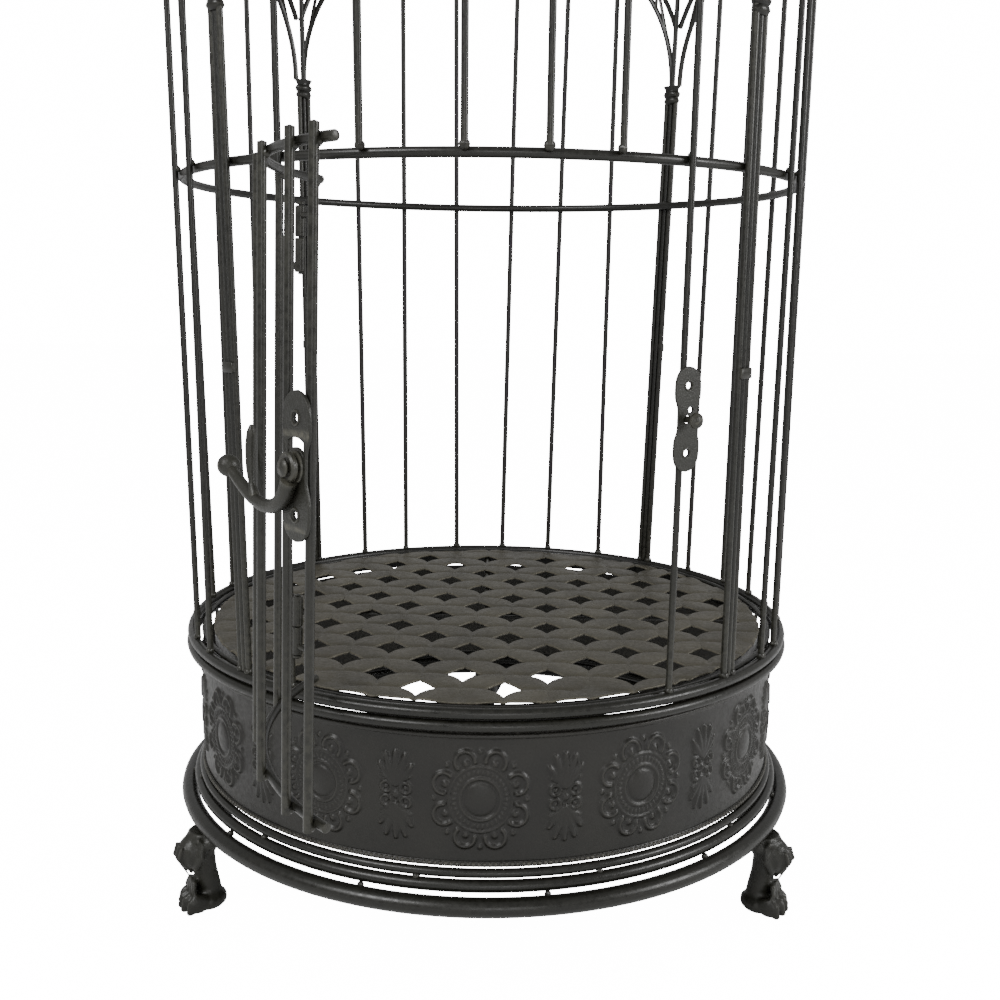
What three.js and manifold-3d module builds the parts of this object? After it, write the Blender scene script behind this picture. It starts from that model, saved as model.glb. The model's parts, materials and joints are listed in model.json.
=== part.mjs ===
// Round wirework bird cage on a footed ring base, in millimetres, +Z up.
// The origin is the middle of the floor plate's top face. Angles round the cage are in degrees
// from the front (-Y), positive towards +X. The door stands open and its latch arm is unhooked.
import * as THREE from "three";
import { mergeVertices } from "three/addons/utils/BufferGeometryUtils.js";
import Module from "manifold-3d";

const wasm = await Module();
wasm.setup();

// ---------------------------------------------------------------- driving dimensions
const GAP = 0.35; // air between neighbouring pieces

const WIRE_R = 1.6; // wall wires and post rods
const WALL_FOOT_R = 166; // radius of the wall on the rim
const WALL_FLARE = 0.0095; // the wall widens by this much per mm of height

// Where the wires stand, as [angle at the foot, angle at the eaves]: hand-set, so a little uneven.
const POST_ANGLES = {
  post_front_left: [-44.8, -46.8],
  post_front_right: [44.9, 43.2],
  post_rear_right: [139.2, 135.7],
  post_rear_left: [-134.8, -134.3],
};
const WIRE_ANGLES = {
  hinge: [[-33, -33]],
  latch: [[30.7, 30.7]],
  right: [[57.5, 57.5], [66, 60.5], [83, 87], [94.3, 94.3], [103.2, 102.7], [114, 114], [126, 124.3]],
  rear: [[151.8, 151.2], [164.9, 162.5], [176.4, 174.2], [-172.2, -171.5], [-159.3, -159.3], [-148.6, -147.6]],
  left: [[-118.4, -119], [-106.5, -106.5], [-97, -91.5], [-84, -79], [-67, -72], [-58, -58]],
};
const DOOR_HEAD_ANGLES = [-19, -3.8, 8.1, 18.9]; // these stand on the middle ring over the doorway

const RIM_Z = -1; // centre of the upper rim ring
const RIM_R = 167;
const RIM_ROD = 2.7;
const RIM_LOWER_ROD = 2.7;
const INNER_RING_R = 160.5;
const INNER_RING_ROD = 1.5;

const MID_RING_Z = 240;
const MID_RING_R = 164;
const MID_RING_ROD = 2.3;
const EAVES_Z = 440;
const EAVES_ROD = 2;
const DOME_H = 150;
const CROWN_R = 18.5; // where the dome wires meet the crown

const BAND_R = 162.5;
const BAND_TOP = -12;
const BAND_BOTTOM = -76.5;
const SHEET = 1;

const BASE_RINGS = [
  { name: "base_ring_top", r: 163.4, z: -79.2, rod: 2.2 },
  { name: "base_ring_middle", r: 165.6, z: -84.4, rod: 3 },
  { name: "base_ring_bottom", r: 171.2, z: -92, rod: 4.6 },
];
const FOOT_ANGLES = [-60, 60, 180];
const SOLE_Z = -140;

const FLOOR_R = 155.5;
const FLOOR_HOLE_STEP = 20.4; // half the distance between two holes in a row
const FLOOR_HOLE_TIP = 8.8;
const FLOOR_HOLE_WAIST = 3.7;
const FLOOR_HOLE_SHIFT = [-6, 6.5];
const FLOOR_TURN = -2.5;
const CROSS_ROD = 2;

const COLLAR_Z = 309;
const CLIP_Z = 148;
const POST_ROD_STEP = 3.25; // between the middles of a post's three rods
const ARCH_RISE = 110;
const ARCH_BAND = 8; // distance between an arch's two wires
const ARCH_WIRE = 1.25;
const ARCH_STANDOFF = 3.6; // how far the arches lie outside the wall wires

const HINGE_X = -84;
const HINGE_Y = -147;
const HINGE_MID_Z = 114.5;
const HINGE_LEAN = 1.5; // the hinge line leans to +X by this many degrees
const BRACKET_ROD = 1.6;
const KNUCKLE_R = 2.3;
const PIN_R = 1;
const UPPER_FIXED = [191, 205.5]; // lower and upper ends of the knuckles along the hinge line
const UPPER_MOVING = [206, 219];
const LOWER_FIXED = [33, 47];
const LOWER_MOVING = [19.5, 32.5];

const DOOR_SWING = -78; // from closed to the modelled, open place
const DOOR_ARC_R = 141.2;
const DOOR_CENTRE = [5.7, -25.7]; // centre of the door's curve when it is closed
const DOOR_START = -36.6; // angle about that centre from which the bars are counted
const DOOR_BARS = [2, 15.2, 30.5, 45.7, 57.8, 64.2];
const DOOR_BAR_R = 1.65;
const DOOR_RAIL_R = 1.8;
const DOOR_TOP = 229.3;
const DOOR_BOTTOM = 11.7;

const LATCH_ANGLE = 62.5; // along the door's curve, counted like the bars
const LATCH_Z = 130;
const LATCH_PLATE = { height: 48, width: 16, thick: 1.2 };
const STRIKE_PLATE = { height: 47, width: 14, thick: 1.2 };
const STRIKE_ANGLE = 31.1;
const STRIKE_Z = 129;
const LATCH_HUB_H = 0.8;
const ARM_THICK = 2.5;

const STEEL = { color: 0x2f2e28, roughness: 0.42, metalness: 0.7 };
const CAST = { color: 0x2a2926, roughness: 0.55, metalness: 0.6 };
const SHEET_STEEL = { color: 0x35342d, roughness: 0.5, metalness: 0.6 };

const UP = new THREE.Vector3(0, 0, 1);
const rad = THREE.MathUtils.degToRad;
const cage = new THREE.Group();

// ---------------------------------------------------------------- helpers
function onWall(angle, radius, z) {
  return new THREE.Vector3(radius * Math.sin(rad(angle)), -radius * Math.cos(rad(angle)), z);
}

function wallRadius(z) {
  return WALL_FOOT_R + WALL_FLARE * z;
}

function addMesh(name, geometry, look, parent = cage) {
  const mesh = new THREE.Mesh(geometry, new THREE.MeshStandardMaterial(look));
  mesh.name = name;
  parent.add(mesh);
  return mesh;
}

function toSolid(geometry) {
  let bare = geometry.clone();
  bare.deleteAttribute("normal");
  bare.deleteAttribute("uv");
  bare = mergeVertices(bare, 1e-4);
  const mesh = new wasm.Mesh({
    numProp: 3,
    vertProperties: new Float32Array(bare.attributes.position.array),
    triVerts: new Uint32Array(bare.index.array),
  });
  return new wasm.Manifold(mesh);
}

function fromSolid(solid) {
  const mesh = solid.getMesh();
  const geometry = new THREE.BufferGeometry();
  geometry.setAttribute("position", new THREE.BufferAttribute(new Float32Array(mesh.vertProperties), 3));
  geometry.setIndex(new THREE.BufferAttribute(new Uint32Array(mesh.triVerts), 1));
  return geometry;
}

function weld(geometries) {
  return fromSolid(geometries.map(toSolid).reduce((sum, piece) => sum.add(piece)));
}

function drill(geometry, cutters) {
  return fromSolid(cutters.map(toSolid).reduce((left, cutter) => left.subtract(cutter), toSolid(geometry)));
}

// A straight round rod from one point to another.
function rod(from, to, radius, sides = 6) {
  const along = new THREE.Vector3().subVectors(to, from);
  const geometry = new THREE.CylinderGeometry(radius, radius, along.length(), sides);
  const turn = new THREE.Quaternion().setFromUnitVectors(new THREE.Vector3(0, 1, 0), along.normalize());
  geometry.applyQuaternion(turn);
  const middle = new THREE.Vector3().addVectors(from, to).multiplyScalar(0.5);
  geometry.translate(middle.x, middle.y, middle.z);
  return geometry;
}

// A curve whose points come from a function of 0..1, stepped evenly in that parameter.
class FunctionCurve extends THREE.Curve {
  constructor(pointAt) {
    super();
    this.pointAt = pointAt;
  }

  getPoint(t) {
    return this.pointAt(t);
  }

  getUtoTmapping(u) {
    return u;
  }
}

function sectionShape(radius, sides) {
  const points = [];
  for (let i = 0; i < sides; i += 1) {
    const a = ((i + 0.5) / sides) * 2 * Math.PI;
    points.push(new THREE.Vector2(radius * Math.cos(a), radius * Math.sin(a)));
  }
  return new THREE.Shape(points);
}

// A bent round rod along a function of 0..1.
function bentRod(pointAt, radius, steps, sides = 6) {
  return new THREE.ExtrudeGeometry(sectionShape(radius, sides), {
    steps,
    bevelEnabled: false,
    extrudePath: new FunctionCurve(pointAt),
  });
}

function ring(radius, rodRadius, z, steps = 36) {
  const geometry = new THREE.TorusGeometry(radius, rodRadius, 5, steps);
  geometry.translate(0, 0, z);
  return geometry;
}

// A turned solid from (radius, height) points that start and end on the axis.
function turned(profile, segments) {
  const points = profile.map(([r, z]) => new THREE.Vector2(r, z));
  const geometry = new THREE.LatheGeometry(points, segments);
  geometry.rotateX(Math.PI / 2);
  return geometry;
}

// ---------------------------------------------------------------- wall wires and posts
function lean([foot, eaves], z) {
  return foot + ((eaves - foot) * z) / EAVES_Z;
}

// The rods come together evenly at the crown, in the order they stand in the wall.
const ROD_ORDER = [
  ...Object.values(POST_ANGLES), ...Object.values(WIRE_ANGLES).flat(), ...DOOR_HEAD_ANGLES.map((a) => [a, a]),
].map(([, eaves]) => eaves).sort((a, b) => a - b);
const CROWN_STEP = 360 / ROD_ORDER.length;
const CROWN_TURN = ROD_ORDER.reduce((sum, a, i) => sum + a - i * CROWN_STEP, 0) / ROD_ORDER.length;

function crownAngle(eaves) {
  return CROWN_TURN + ROD_ORDER.indexOf(eaves) * CROWN_STEP;
}

// Straight from the foot to the eaves, then a quarter ellipse over to the crown.
function wireLine(angles, footZ, domeSteps) {
  const straight = 1 / (domeSteps + 1);
  return (t) => {
    if (t <= straight) {
      const z = footZ + (t / straight) * (EAVES_Z - footZ);
      return onWall(lean(angles, z), wallRadius(z), z);
    }
    const share = (t - straight) / (1 - straight);
    const angle = angles[1] + share * (crownAngle(angles[1]) - angles[1]);
    const a = (share * Math.PI) / 2;
    const radius = CROWN_R + (wallRadius(EAVES_Z) - CROWN_R) * Math.cos(a);
    return onWall(angle, radius, EAVES_Z + DOME_H * Math.sin(a));
  };
}

const DOME_STEPS = 6;
const WIRE_FOOT_Z = RIM_Z + RIM_ROD + GAP;

function longRod(angles, footZ) {
  return bentRod(wireLine(angles, footZ, DOME_STEPS), WIRE_R, DOME_STEPS + 1);
}

function addWires() {
  for (const [bay, places] of Object.entries(WIRE_ANGLES)) {
    places.forEach((angles, i) => addMesh(`${bay}_wire_${i + 1}`, longRod(angles, WIRE_FOOT_Z), STEEL));
  }
  const ringTop = MID_RING_Z + MID_RING_ROD + GAP;
  DOOR_HEAD_ANGLES.forEach((angle, i) => {
    addMesh(`door_head_wire_${i + 1}`, longRod([angle, angle], ringTop), STEEL);
  });
}

// Three rods side by side; the middle one runs on over the dome from the collar.
function postGeometry(angles) {
  const turn = THREE.MathUtils.radToDeg(POST_ROD_STEP / wallRadius(0));
  const pieces = [longRod(angles, WIRE_FOOT_Z)];
  for (const side of [-turn, turn]) {
    const at = (z) => onWall(lean(angles, z) + side, wallRadius(z), z);
    pieces.push(rod(at(WIRE_FOOT_Z), at(COLLAR_Z), WIRE_R));
  }
  const place = (piece, z) => {
    piece.rotateZ(rad(lean(angles, z)));
    const at = onWall(lean(angles, z), wallRadius(z), z);
    piece.translate(at.x, at.y, at.z);
    return piece;
  };
  const collar = turned([[0, -4], [4.9, -4], [6.2, -1.5], [6.2, 1.5], [4.9, 4], [0, 4]], 8);
  collar.scale(1, 0.6, 1);
  const clip = new THREE.BoxGeometry(8.4, 4.1, 4.6);
  return weld([...pieces, place(collar, COLLAR_Z), place(clip, CLIP_Z)]);
}

function addPosts() {
  for (const [name, angles] of Object.entries(POST_ANGLES)) addMesh(name, postGeometry(angles), STEEL);
}

// ---------------------------------------------------------------- rings
function addRings() {
  addMesh("rim_ring_upper", ring(RIM_R, RIM_ROD, RIM_Z), STEEL);
  const lowerZ = RIM_Z - RIM_ROD - RIM_LOWER_ROD - GAP;
  addMesh("rim_ring_lower", ring(RIM_R + 0.5, RIM_LOWER_ROD, lowerZ), STEEL);
  addMesh("inner_ring", ring(INNER_RING_R, INNER_RING_ROD, RIM_Z), STEEL);
  addMesh("middle_ring", ring(MID_RING_R, MID_RING_ROD, MID_RING_Z), STEEL);
  const eavesRingR = wallRadius(EAVES_Z) - WIRE_R - EAVES_ROD - GAP;
  addMesh("eaves_ring", ring(eavesRingR, EAVES_ROD, EAVES_Z - EAVES_ROD), STEEL);
  for (const { name, r, z, rod: rodRadius } of BASE_RINGS) {
    addMesh(name, ring(r, rodRadius, z), STEEL);
  }
}

// ---------------------------------------------------------------- arches between the posts
// A half ellipse from post to post on the wall's curve; lift moves it out to the upper wire.
function archLine(start, end, lift) {
  const middle = (start + end) / 2;
  const halfSpan = (rad(end - start) / 2) * wallRadius(COLLAR_Z);
  const reach = halfSpan - 3 + lift;
  const first = lift > 0 ? Math.acos((halfSpan - 1.6) / reach) : 0;
  return (t) => {
    const a = first + t * (Math.PI - 2 * first);
    const z = COLLAR_Z + 6.4 + (ARCH_RISE + lift) * Math.sin(a);
    const along = -reach * Math.cos(a);
    const angle = middle + THREE.MathUtils.radToDeg(along / wallRadius(COLLAR_Z));
    return onWall(angle, wallRadius(z) + ARCH_STANDOFF, z);
  };
}

const ARCH_STEPS = 12;
const ARCH_STRUTS = 7;

function archGeometry(start, end) {
  const lower = archLine(start, end, 0);
  const upper = archLine(start, end, ARCH_BAND);
  const pieces = [bentRod(lower, ARCH_WIRE, ARCH_STEPS, 4), bentRod(upper, ARCH_WIRE, ARCH_STEPS, 4)];
  for (let i = 0; i < ARCH_STRUTS; i += 1) {
    const t = (i + 1) / (ARCH_STRUTS + 1);
    const slant = i % 2 === 0 ? 0.012 : -0.012;
    pieces.push(rod(lower(t - slant), upper(t + slant), 0.8, 4));
  }
  return weld(pieces);
}

function addArches() {
  const [a, b, c, d] = Object.values(POST_ANGLES).map((angles) => lean(angles, COLLAR_Z));
  addMesh("arch_front", archGeometry(a, b), STEEL);
  addMesh("arch_right", archGeometry(b, c), STEEL);
  addMesh("arch_rear", archGeometry(c, d + 360), STEEL);
  addMesh("arch_left", archGeometry(d, a), STEEL);
}

// ---------------------------------------------------------------- crown, finial and carrying ring
function crownProfile() {
  const hub = CROWN_R - GAP;
  return [
    [0, -8], [hub - 3, -8], [hub, -5], [hub, 4], [hub - 5, 8], [6, 11], [4, 15], [5, 18],
    [9, 22], [10, 27], [8, 32], [4, 36], [3.4, 39], [5.4, 42], [5.4, 50], [3.4, 53], [0, 54],
  ];
}

function addCrown() {
  const crownZ = EAVES_Z + DOME_H;
  const eyeZ = crownZ + 46;
  const body = turned(crownProfile(), 12);
  body.translate(0, 0, crownZ);
  const eye = rod(new THREE.Vector3(-8, 0, eyeZ), new THREE.Vector3(8, 0, eyeZ), 2.9, 8);
  addMesh("crown_finial", drill(body, [eye]), CAST);
  const loop = new THREE.TorusGeometry(15, 1.6, 6, 18);
  loop.rotateX(Math.PI / 2);
  loop.translate(0, 0, eyeZ + 15);
  addMesh("carrying_ring", loop, STEEL);
}

// ---------------------------------------------------------------- band and floor
function addBand() {
  const out = BAND_R;
  const inside = BAND_R - SHEET;
  const profile = [
    [inside, BAND_BOTTOM], [out + 1, BAND_BOTTOM], [out + 1, BAND_BOTTOM + 2.4], [out, BAND_BOTTOM + 2.8],
    [out, BAND_TOP - 3], [out + 0.6, BAND_TOP - 2.4], [out + 0.6, BAND_TOP], [inside, BAND_TOP],
    [inside, BAND_BOTTOM],
  ];
  const points = profile.map(([r, z]) => new THREE.Vector2(r, z));
  const geometry = new THREE.LatheGeometry(points, 48);
  geometry.rotateX(Math.PI / 2);
  addMesh("band", geometry, SHEET_STEEL);
}

// A hole with four points and hollow sides.
function starHole(x, y) {
  const hole = new THREE.Path();
  for (let i = 0; i < 8; i += 1) {
    const a = (-i * Math.PI) / 4;
    const r = i % 2 === 0 ? FLOOR_HOLE_TIP : FLOOR_HOLE_WAIST;
    if (i === 0) hole.moveTo(x + r, y);
    else hole.lineTo(x + r * Math.cos(a), y + r * Math.sin(a));
  }
  hole.closePath();
  return hole;
}

function floorGeometry() {
  const edge = new THREE.Shape();
  edge.absarc(0, 0, FLOOR_R, 0, 2 * Math.PI, false);
  const reach = Math.ceil(FLOOR_R / FLOOR_HOLE_STEP);
  for (let i = -reach; i <= reach; i += 1) {
    for (let j = -reach; j <= reach; j += 1) {
      const x = FLOOR_HOLE_SHIFT[0] + i * FLOOR_HOLE_STEP;
      const y = FLOOR_HOLE_SHIFT[1] + j * FLOOR_HOLE_STEP;
      const inside = Math.hypot(x, y) < FLOOR_R - FLOOR_HOLE_TIP - 3;
      if ((i + j) % 2 === 0 && inside) edge.holes.push(starHole(x, y));
    }
  }
  const plate = new THREE.ExtrudeGeometry(edge, { depth: SHEET, bevelEnabled: false, curveSegments: 48 });
  plate.rotateZ(rad(FLOOR_TURN));
  plate.translate(0, 0, -SHEET);
  return plate;
}

function addFloor() {
  addMesh("floor_plate", floorGeometry(), SHEET_STEEL);
  const z = -SHEET - GAP - CROSS_ROD;
  const reach = INNER_RING_R - INNER_RING_ROD - GAP;
  const bars = [0, 90].map((a) => rod(onWall(a, reach, z), onWall(a + 180, reach, z), CROSS_ROD));
  addMesh("floor_cross", weld(bars), STEEL);
}

// ---------------------------------------------------------------- paw feet
function egg(rx, ry, rz, x, y, z) {
  const geometry = new THREE.SphereGeometry(1, 7, 5);
  geometry.scale(rx, ry, rz);
  geometry.translate(x, y, z);
  return geometry;
}

// Built facing -Y with its ankle under the bottom ring, then turned to its place.
function footGeometry() {
  const top = BASE_RINGS[2].z - BASE_RINGS[2].rod - GAP;
  const centre = -BASE_RINGS[2].r;
  const block = new THREE.CylinderGeometry(9, 8, 16, 8);
  block.rotateX(Math.PI / 2);
  block.translate(0, centre + 1, top - 8);
  const ankle = rod(new THREE.Vector3(0, centre - 3, top - 10), new THREE.Vector3(0, centre + 3, SOLE_Z + 8), 7.5, 8);
  const pad = new THREE.CylinderGeometry(9.5, 10.5, 9, 8);
  pad.rotateX(Math.PI / 2);
  pad.translate(0, centre + 1, SOLE_Z + 4.5);
  const toes = [-7.2, -2.4, 2.4, 7.2].map((x) => egg(3.4, 6.5, 5.6, x, centre - 8 + Math.abs(x) * 0.35, SOLE_Z + 5.2));
  const knee = egg(9.5, 8.5, 10, 0, centre - 6, top - 11);
  const body = toSolid(weld([block, ankle, pad, knee, ...toes]));
  const slab = new THREE.BoxGeometry(60, 60, 60);
  slab.translate(0, centre, SOLE_Z - 30);
  const above = new THREE.BoxGeometry(60, 60, 60);
  above.translate(0, centre, top + 30);
  return fromSolid(body.subtract(toSolid(slab)).subtract(toSolid(above)));
}

function addFeet() {
  const names = ["foot_left", "foot_right", "foot_rear"];
  FOOT_ANGLES.forEach((angle, i) => {
    const foot = addMesh(names[i], footGeometry(), CAST);
    foot.rotation.z = rad(angle);
  });
}

// ---------------------------------------------------------------- door hinge
// Everything on the hinge line is built on a group whose +Z is that line.
const hingeLine = new THREE.Group();
hingeLine.position.set(HINGE_X, HINGE_Y, HINGE_MID_Z);
hingeLine.rotation.y = rad(HINGE_LEAN);
cage.add(hingeLine);

function hingePoint(z) {
  return new THREE.Vector3(0, 0, z - HINGE_MID_Z);
}

function knuckle(from, to) {
  const outer = rod(hingePoint(from), hingePoint(to), KNUCKLE_R, 10);
  const bore = rod(hingePoint(from - 1), hingePoint(to + 1), PIN_R + GAP, 10);
  return drill(outer, [bore]);
}

// Points of the world seen from the hinge line's group.
function toHingeLine(point) {
  hingeLine.updateMatrixWorld(true);
  return hingeLine.worldToLocal(point.clone());
}

// An arm from the hinge wire that ends in the fixed knuckle.
function bracketGeometry(armZ, [from, to]) {
  const reach = wallRadius(armZ);
  const wire = toHingeLine(onWall(lean(WIRE_ANGLES.hinge[0], armZ), reach, armZ));
  const stop = wire.clone().sub(hingePoint(armZ)).setLength(WIRE_R + GAP);
  const arm = rod(hingePoint(armZ), wire.sub(stop), BRACKET_ROD, 8);
  const bore = rod(hingePoint(from - 1), hingePoint(to + 1), PIN_R + GAP, 10);
  return drill(weld([arm, knuckle(from, to)]), [bore]);
}

// A pin with a head at its outer end; dir is +1 for a head on top, -1 for one below.
function pinGeometry(from, to, dir) {
  const length = to - from;
  const pin = turned([
    [0, 0], [PIN_R, 0], [PIN_R, length], [PIN_R + 0.9, length], [PIN_R + 0.9, length + 1.2], [0, length + 1.6],
  ], 8);
  if (dir < 0) pin.rotateX(Math.PI);
  const end = hingePoint(dir > 0 ? from : to);
  pin.translate(end.x, end.y, end.z);
  return pin;
}

function addHinge() {
  addMesh("hinge_bracket_upper", bracketGeometry(193.5, UPPER_FIXED), STEEL, hingeLine);
  addMesh("hinge_bracket_lower", bracketGeometry(44.5, LOWER_FIXED), STEEL, hingeLine);
  const top = pinGeometry(UPPER_FIXED[0] - 1, UPPER_MOVING[1] + GAP, 1);
  const bottom = pinGeometry(LOWER_MOVING[0] - GAP, LOWER_FIXED[1] + 1, -1);
  addMesh("hinge_pin_upper", top, STEEL, hingeLine);
  addMesh("hinge_pin_lower", bottom, STEEL, hingeLine);
}

// ---------------------------------------------------------------- door
// The door's pieces are placed as if it were closed; this group swings them open.
const doorSwing = new THREE.Group();
doorSwing.rotation.z = rad(DOOR_SWING);
hingeLine.add(doorSwing);

function onDoor(alongDegrees, radius, z) {
  const a = rad(DOOR_START + alongDegrees);
  const x = DOOR_CENTRE[0] + radius * Math.sin(a) - HINGE_X;
  const y = DOOR_CENTRE[1] - radius * Math.cos(a) - HINGE_Y;
  return new THREE.Vector3(x, y, z - HINGE_MID_Z);
}

function doorRail(z) {
  const radius = DOOR_ARC_R - DOOR_BAR_R - DOOR_RAIL_R + 0.4;
  const past = THREE.MathUtils.radToDeg(6.5 / DOOR_ARC_R);
  const first = DOOR_BARS[0];
  const last = DOOR_BARS[DOOR_BARS.length - 1] + past;
  return bentRod((t) => onDoor(first + t * (last - first), radius, z), DOOR_RAIL_R, 10);
}

// The two latch-side bars stand higher over the rail than the others.
function doorBars() {
  return DOOR_BARS.map((a, i) => {
    const over = i < 4 ? 2.2 : 4;
    const foot = onDoor(a, DOOR_ARC_R, DOOR_BOTTOM - 2.8);
    return rod(foot, onDoor(a, DOOR_ARC_R, DOOR_TOP + over), DOOR_BAR_R);
  });
}

function hingeLink(z) {
  const bar = onDoor(DOOR_BARS[0], DOOR_ARC_R, z);
  const start = bar.clone().setZ(0).normalize().multiplyScalar(PIN_R + GAP + 0.6);
  start.z = bar.z;
  return rod(start, bar, 1.3);
}

function addDoor() {
  const links = [hingeLink(UPPER_MOVING[1] - 4), hingeLink(LOWER_MOVING[0] + 4)];
  const frame = weld([doorRail(DOOR_TOP), doorRail(DOOR_BOTTOM), ...doorBars(), ...links,
    knuckle(...UPPER_MOVING), knuckle(...LOWER_MOVING)]);
  addMesh("door", frame, STEEL, doorSwing);
}

// ---------------------------------------------------------------- latch
// A group on the door's outer face: +Z outwards, +Y up, +X away from the hinge.
function latchGroup() {
  const group = new THREE.Group();
  group.position.copy(onDoor(LATCH_ANGLE, DOOR_ARC_R + DOOR_BAR_R + GAP, LATCH_Z));
  const a = rad(DOOR_START + LATCH_ANGLE);
  const out = new THREE.Vector3(Math.sin(a), -Math.cos(a), 0);
  const across = new THREE.Vector3().crossVectors(UP, out);
  group.quaternion.setFromRotationMatrix(new THREE.Matrix4().makeBasis(across, UP, out));
  return group;
}

// A slim plate with pointed ends, two lobes and a waist, in its own X-Y plane.
function platePlan({ height, width }) {
  const h = height / 2;
  const w = width / 2;
  const shape = new THREE.Shape();
  const right = [[0, -h], [w * 0.55, -h * 0.82], [w, -h * 0.6], [w * 0.62, -h * 0.36], [w * 0.62, h * 0.36],
    [w, h * 0.6], [w * 0.55, h * 0.82], [0, h]];
  const left = right.slice(1, -1).reverse().map(([x, y]) => [-x, y]);
  [...right, ...left].forEach(([x, y], i) => (i ? shape.lineTo(x, y) : shape.moveTo(x, y)));
  return shape;
}

function roundHole(x, y, radius) {
  const hole = new THREE.Path();
  hole.absarc(x, y, radius, 0, 2 * Math.PI, true);
  return hole;
}

function plateGeometry(size, holeRadius) {
  const shape = platePlan(size);
  for (const y of [-0.64, 0.64]) shape.holes.push(roundHole(0, (y * size.height) / 2, 1.4));
  if (holeRadius) shape.holes.push(roundHole(0, 0, holeRadius));
  return new THREE.ExtrudeGeometry(shape, { depth: size.thick, bevelEnabled: false, curveSegments: 6 });
}

const RIVET_R = 1.5;

function latchPlate() {
  const hub = new THREE.Shape();
  hub.absarc(0, 0, 4.6, 0, 2 * Math.PI, false);
  hub.holes.push(roundHole(0, 0, RIVET_R + GAP));
  const hubSolid = new THREE.ExtrudeGeometry(hub, { depth: LATCH_HUB_H + 0.3, bevelEnabled: false, curveSegments: 6 });
  hubSolid.translate(0, 0, LATCH_PLATE.thick - 0.3);
  return weld([plateGeometry(LATCH_PLATE, RIVET_R + GAP), hubSolid]);
}

// The swan-necked arm, hanging open: an eye, a belly that tapers to a ball, and an upright leaf.
function armGeometry() {
  const eye = new THREE.Shape();
  eye.absarc(0, 0, 4.9, 0, 2 * Math.PI, false);
  const neck = new THREE.Shape();
  neck.moveTo(3.4, -3.2);
  neck.quadraticCurveTo(-1, -15.5, -16, -16.4);
  neck.quadraticCurveTo(-28, -16.8, -42.8, -7.4);
  neck.lineTo(-41.2, -3.4);
  neck.quadraticCurveTo(-31, -11, -20, -12);
  neck.quadraticCurveTo(-8, -12.6, -4.6, -1.6);
  neck.lineTo(3.4, -3.2);
  const leaf = new THREE.Shape();
  leaf.moveTo(-22.6, -13);
  leaf.quadraticCurveTo(-23.8, 0, -24.2, 10.4);
  leaf.quadraticCurveTo(-27.6, 0, -25.8, -12);
  leaf.lineTo(-22.6, -13);
  const options = { depth: ARM_THICK, bevelEnabled: false, curveSegments: 5 };
  const pieces = [eye, neck, leaf].map((shape) => new THREE.ExtrudeGeometry(shape, options));
  pieces.push(egg(3.9, 3.9, 3.9, -42, -5.3, ARM_THICK / 2));
  const bore = rod(new THREE.Vector3(0, 0, -1), new THREE.Vector3(0, 0, ARM_THICK + 1), RIVET_R + GAP, 10);
  return drill(weld(pieces), [bore]);
}

function rivetGeometry(armFace) {
  return turned([
    [0, 0.2], [RIVET_R, 0.2], [RIVET_R, armFace + GAP], [3, armFace + GAP], [2.6, armFace + 1.1],
    [1.4, armFace + 1.7], [0, armFace + 1.9],
  ], 10);
}

function addLatch() {
  const group = latchGroup();
  doorSwing.add(group);
  addMesh("latch_plate", latchPlate(), CAST, group);
  const armBack = LATCH_PLATE.thick + LATCH_HUB_H + GAP;
  const arm = addMesh("latch_arm", armGeometry(), CAST, group);
  arm.position.z = armBack;
  addMesh("latch_rivet", rivetGeometry(armBack + ARM_THICK), CAST, group);
}

// The strike plate lies on the outside of the latch wire, with a headed stud for the arm.
function addStrike() {
  const group = new THREE.Group();
  group.position.copy(onWall(STRIKE_ANGLE, wallRadius(STRIKE_Z) + WIRE_R + GAP, STRIKE_Z));
  const out = onWall(STRIKE_ANGLE, 1, 0);
  const across = new THREE.Vector3().crossVectors(UP, out);
  group.quaternion.setFromRotationMatrix(new THREE.Matrix4().makeBasis(across, UP, out));
  cage.add(group);
  addMesh("strike_plate", plateGeometry(STRIKE_PLATE, 1.5 + GAP), CAST, group);
  const stud = turned([
    [0, 0.2], [1.5, 0.2], [1.5, 6], [3.6, 6.3], [3.6, 7.8], [2.2, 8.9], [0, 9.3],
  ], 10);
  addMesh("strike_stud", stud, CAST, group);
}

addWires();
addPosts();
addRings();
addArches();
addCrown();
addBand();
addFloor();
addFeet();
addHinge();
addDoor();
addLatch();
addStrike();

export default cage;
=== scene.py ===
"""The looks of the round wirework bird cage.

Lengths are in millimetres until mesh_object() turns them into metres, +Z is up, and angles round the
cage are in degrees from the front (-Y), positive towards +X. Each piece stands for one CAD node. A part
of a piece is a pair (points, faces), and most rods are a sweep() along a line.
"""

import json
import math

import bmesh
import bpy
import numpy as np
from mathutils import Matrix, Vector


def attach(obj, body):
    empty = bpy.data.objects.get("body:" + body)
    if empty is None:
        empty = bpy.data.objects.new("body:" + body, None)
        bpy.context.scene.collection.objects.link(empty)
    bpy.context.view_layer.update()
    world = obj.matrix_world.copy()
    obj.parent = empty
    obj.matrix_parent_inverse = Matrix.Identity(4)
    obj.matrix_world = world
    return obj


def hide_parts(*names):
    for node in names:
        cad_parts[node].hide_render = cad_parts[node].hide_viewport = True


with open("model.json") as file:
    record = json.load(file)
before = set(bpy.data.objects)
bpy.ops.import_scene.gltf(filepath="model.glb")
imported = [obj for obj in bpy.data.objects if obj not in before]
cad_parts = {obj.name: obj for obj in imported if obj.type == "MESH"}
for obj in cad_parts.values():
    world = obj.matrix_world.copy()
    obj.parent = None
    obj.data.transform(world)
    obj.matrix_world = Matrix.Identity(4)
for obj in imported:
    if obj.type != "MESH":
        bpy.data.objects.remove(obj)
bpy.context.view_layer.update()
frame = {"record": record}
rng = np.random.default_rng(11)

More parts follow.
